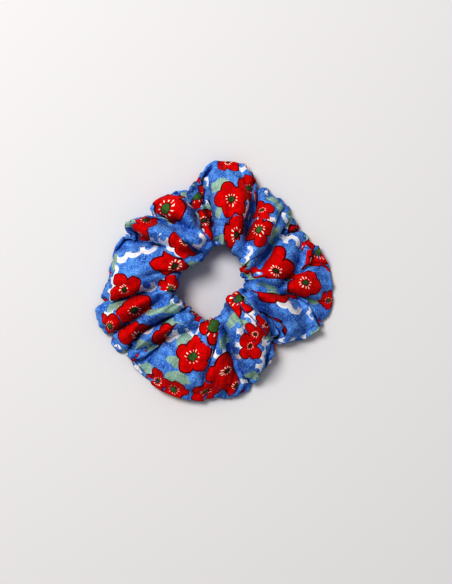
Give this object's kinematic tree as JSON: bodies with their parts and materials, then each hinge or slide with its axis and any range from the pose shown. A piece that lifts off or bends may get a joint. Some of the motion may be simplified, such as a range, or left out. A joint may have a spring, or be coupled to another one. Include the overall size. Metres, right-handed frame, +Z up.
{
  "type": "scrunchie",
  "caption": "Gathered ring of printed cotton sewn into a tube round a flat elastic loop, with a lapped closing seam; it stretches open to hold hair.",
  "frame": {"origin": "on the surface the scrunchie lies on, under the middle of its box", "axes": "+Z up through the hair opening, +X the way the ring is pulled open, +Y away from the closing seam"},
  "size_m": [0.1086, 0.1114, 0.023],
  "materials": {
    "printed_cotton": "matt crinkled cotton gauze, printed",
    "elastic_webbing": "matt braided elastic",
    "sewing_thread": "satin polyester thread"
  },
  "bodies": {
    "left_half": {"fabric_sleeve_left": "printed_cotton", "elastic_band": "elastic_webbing", "side_seam_needle_thread": "sewing_thread", "side_seam_bobbin_thread": "sewing_thread"},
    "right_half": {"fabric_sleeve_right": "printed_cotton", "closing_seam_needle_thread": "sewing_thread", "closing_seam_bobbin_thread": "sewing_thread", "elastic_join_needle_thread": "sewing_thread", "elastic_join_bobbin_thread": "sewing_thread"}
  },
  "joints": [
    {"name": "stretch", "type": "slide", "parent": "left_half", "child": "right_half", "axis": [1, 0, 0], "range_m": [0, 0.06], "stiffness_N_per_m": 90, "deforming": ["elastic_band", "side_seam_needle_thread", "side_seam_bobbin_thread"]}
  ]
}
